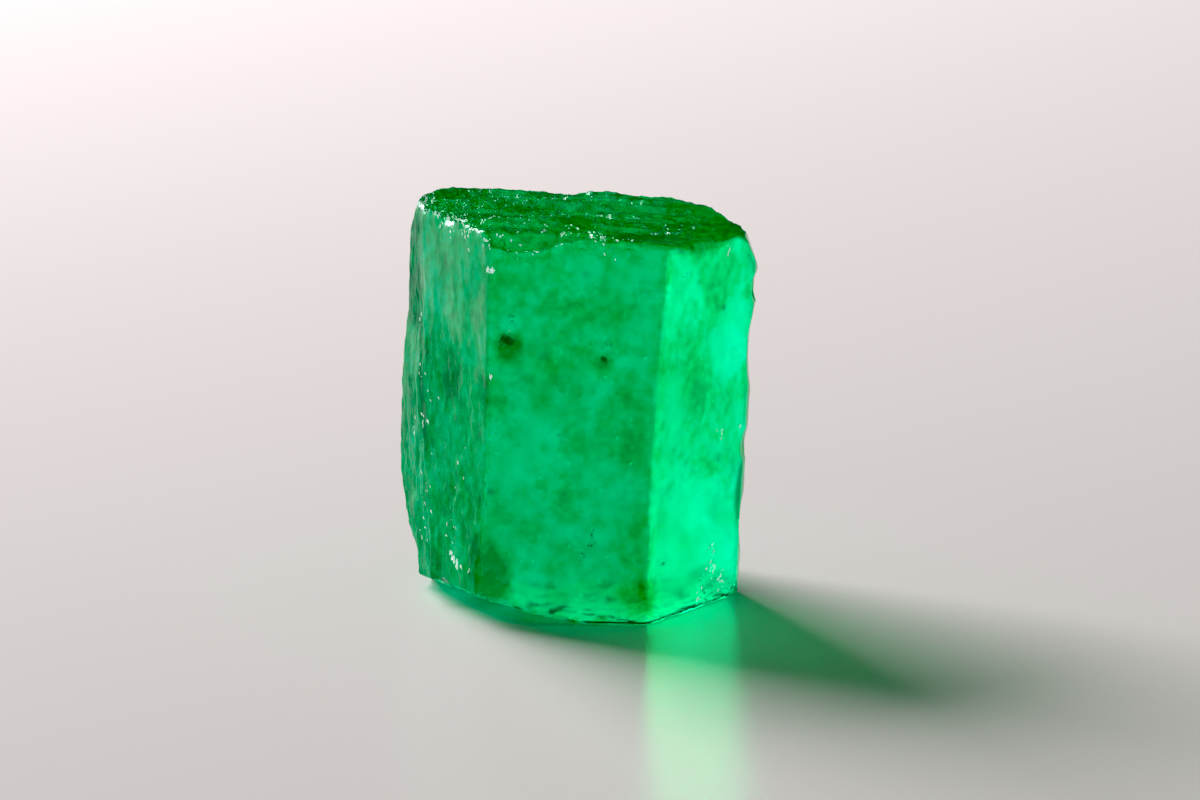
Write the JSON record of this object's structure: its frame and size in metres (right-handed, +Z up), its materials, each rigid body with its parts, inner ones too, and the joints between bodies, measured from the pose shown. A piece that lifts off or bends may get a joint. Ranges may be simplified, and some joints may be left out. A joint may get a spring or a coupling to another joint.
{
  "type": "raw emerald crystal",
  "caption": "Raw green beryl crystal: a six-sided see-through prism with a broken stepped top, chipped edges and a flat broken base that it stands on.",
  "frame": {"origin": "middle of the bottom of the crystal's box, on the surface that it stands on", "axes": "+Z up, along the prism to within its lean of about 3 degrees; -Y out of the broad front face; +X to the right seen from the front"},
  "size_m": [0.0094, 0.0078, 0.0103],
  "materials": {
    "emerald": "vitreous, lightly etched, see-through green"
  },
  "bodies": {
    "root": {"emerald_crystal": "emerald"}
  },
  "joints": []
}
